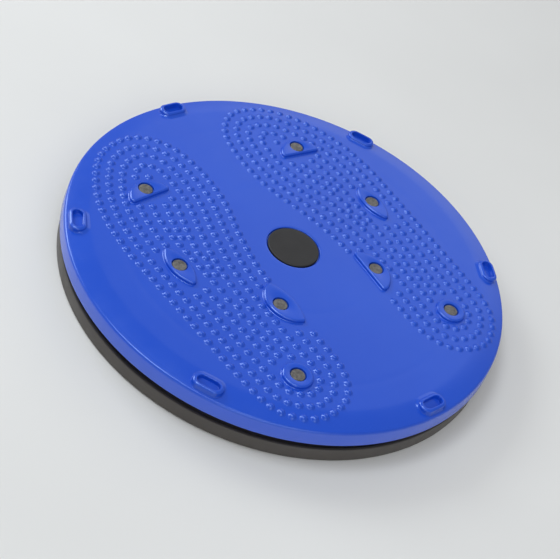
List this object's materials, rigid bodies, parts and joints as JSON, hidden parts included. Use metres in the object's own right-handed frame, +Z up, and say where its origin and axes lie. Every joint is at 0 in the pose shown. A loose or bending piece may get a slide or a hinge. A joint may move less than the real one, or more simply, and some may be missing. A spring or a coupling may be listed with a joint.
{
  "type": "waist twisting disc",
  "caption": "Round standing disc with foot-shaped fields of massage nubs, raised magnet seats and band lugs, turning on a low base through a ball bearing.",
  "frame": {"origin": "on the floor under the centre of the pivot bolt, in the plane of the feet's undersides", "axes": "+Z up along the pivot, +Y towards the toes of the foot fields, +X towards the right foot field"},
  "size_m": [0.38, 0.38, 0.0403],
  "materials": {
    "deck_plastic": "satin gloss",
    "base_plastic": "matte",
    "cap_plastic": "matte",
    "magnet_ferrite": "sintered",
    "foot_rubber": "matte",
    "race_steel": "rolled",
    "ball_steel": "polished",
    "bolt_steel": "zinc plated",
    "cage_plastic": "satin",
    "washer_plastic": "satin"
  },
  "bodies": {
    "base": {"base_disc": "base_plastic", "foot_1": "foot_rubber", "foot_2": "foot_rubber", "foot_3": "foot_rubber", "foot_4": "foot_rubber", "foot_5": "foot_rubber", "foot_6": "foot_rubber", "lower_race": "race_steel", "pivot_bolt": "bolt_steel", "head_washer": "bolt_steel", "thrust_washer": "washer_plastic", "nut_washer": "bolt_steel", "lock_nut": "bolt_steel"},
    "rolling_ring": {"ball_cage": "cage_plastic", "ball_01": "ball_steel", "ball_02": "ball_steel", "ball_03": "ball_steel", "ball_04": "ball_steel", "ball_05": "ball_steel", "ball_06": "ball_steel", "ball_07": "ball_steel", "ball_08": "ball_steel", "ball_09": "ball_steel", "ball_10": "ball_steel", "ball_11": "ball_steel", "ball_12": "ball_steel", "ball_13": "ball_steel", "ball_14": "ball_steel", "ball_15": "ball_steel", "ball_16": "ball_steel", "ball_17": "ball_steel", "ball_18": "ball_steel", "ball_19": "ball_steel", "ball_20": "ball_steel"},
    "deck": {"deck": "deck_plastic", "centre_cap": "cap_plastic", "upper_race": "race_steel", "magnet_right_toe": "magnet_ferrite", "magnet_left_toe": "magnet_ferrite", "magnet_right_side": "magnet_ferrite", "magnet_left_side": "magnet_ferrite", "magnet_right_arch": "magnet_ferrite", "magnet_left_arch": "magnet_ferrite", "magnet_right_heel": "magnet_ferrite", "magnet_left_heel": "magnet_ferrite"}
  },
  "joints": [
    {"name": "deck_spin", "type": "hinge", "parent": "base", "child": "deck", "pos_m": [0, 0, 0], "axis": [0, 0, 1], "continuous": true},
    {"name": "cage_spin", "type": "hinge", "parent": "base", "child": "rolling_ring", "pos_m": [0, 0, 0], "axis": [0, 0, 1], "continuous": true}
  ],
  "couplings": [
    {"joint": "cage_spin", "follows": "deck_spin", "ratio": 0.5}
  ]
}
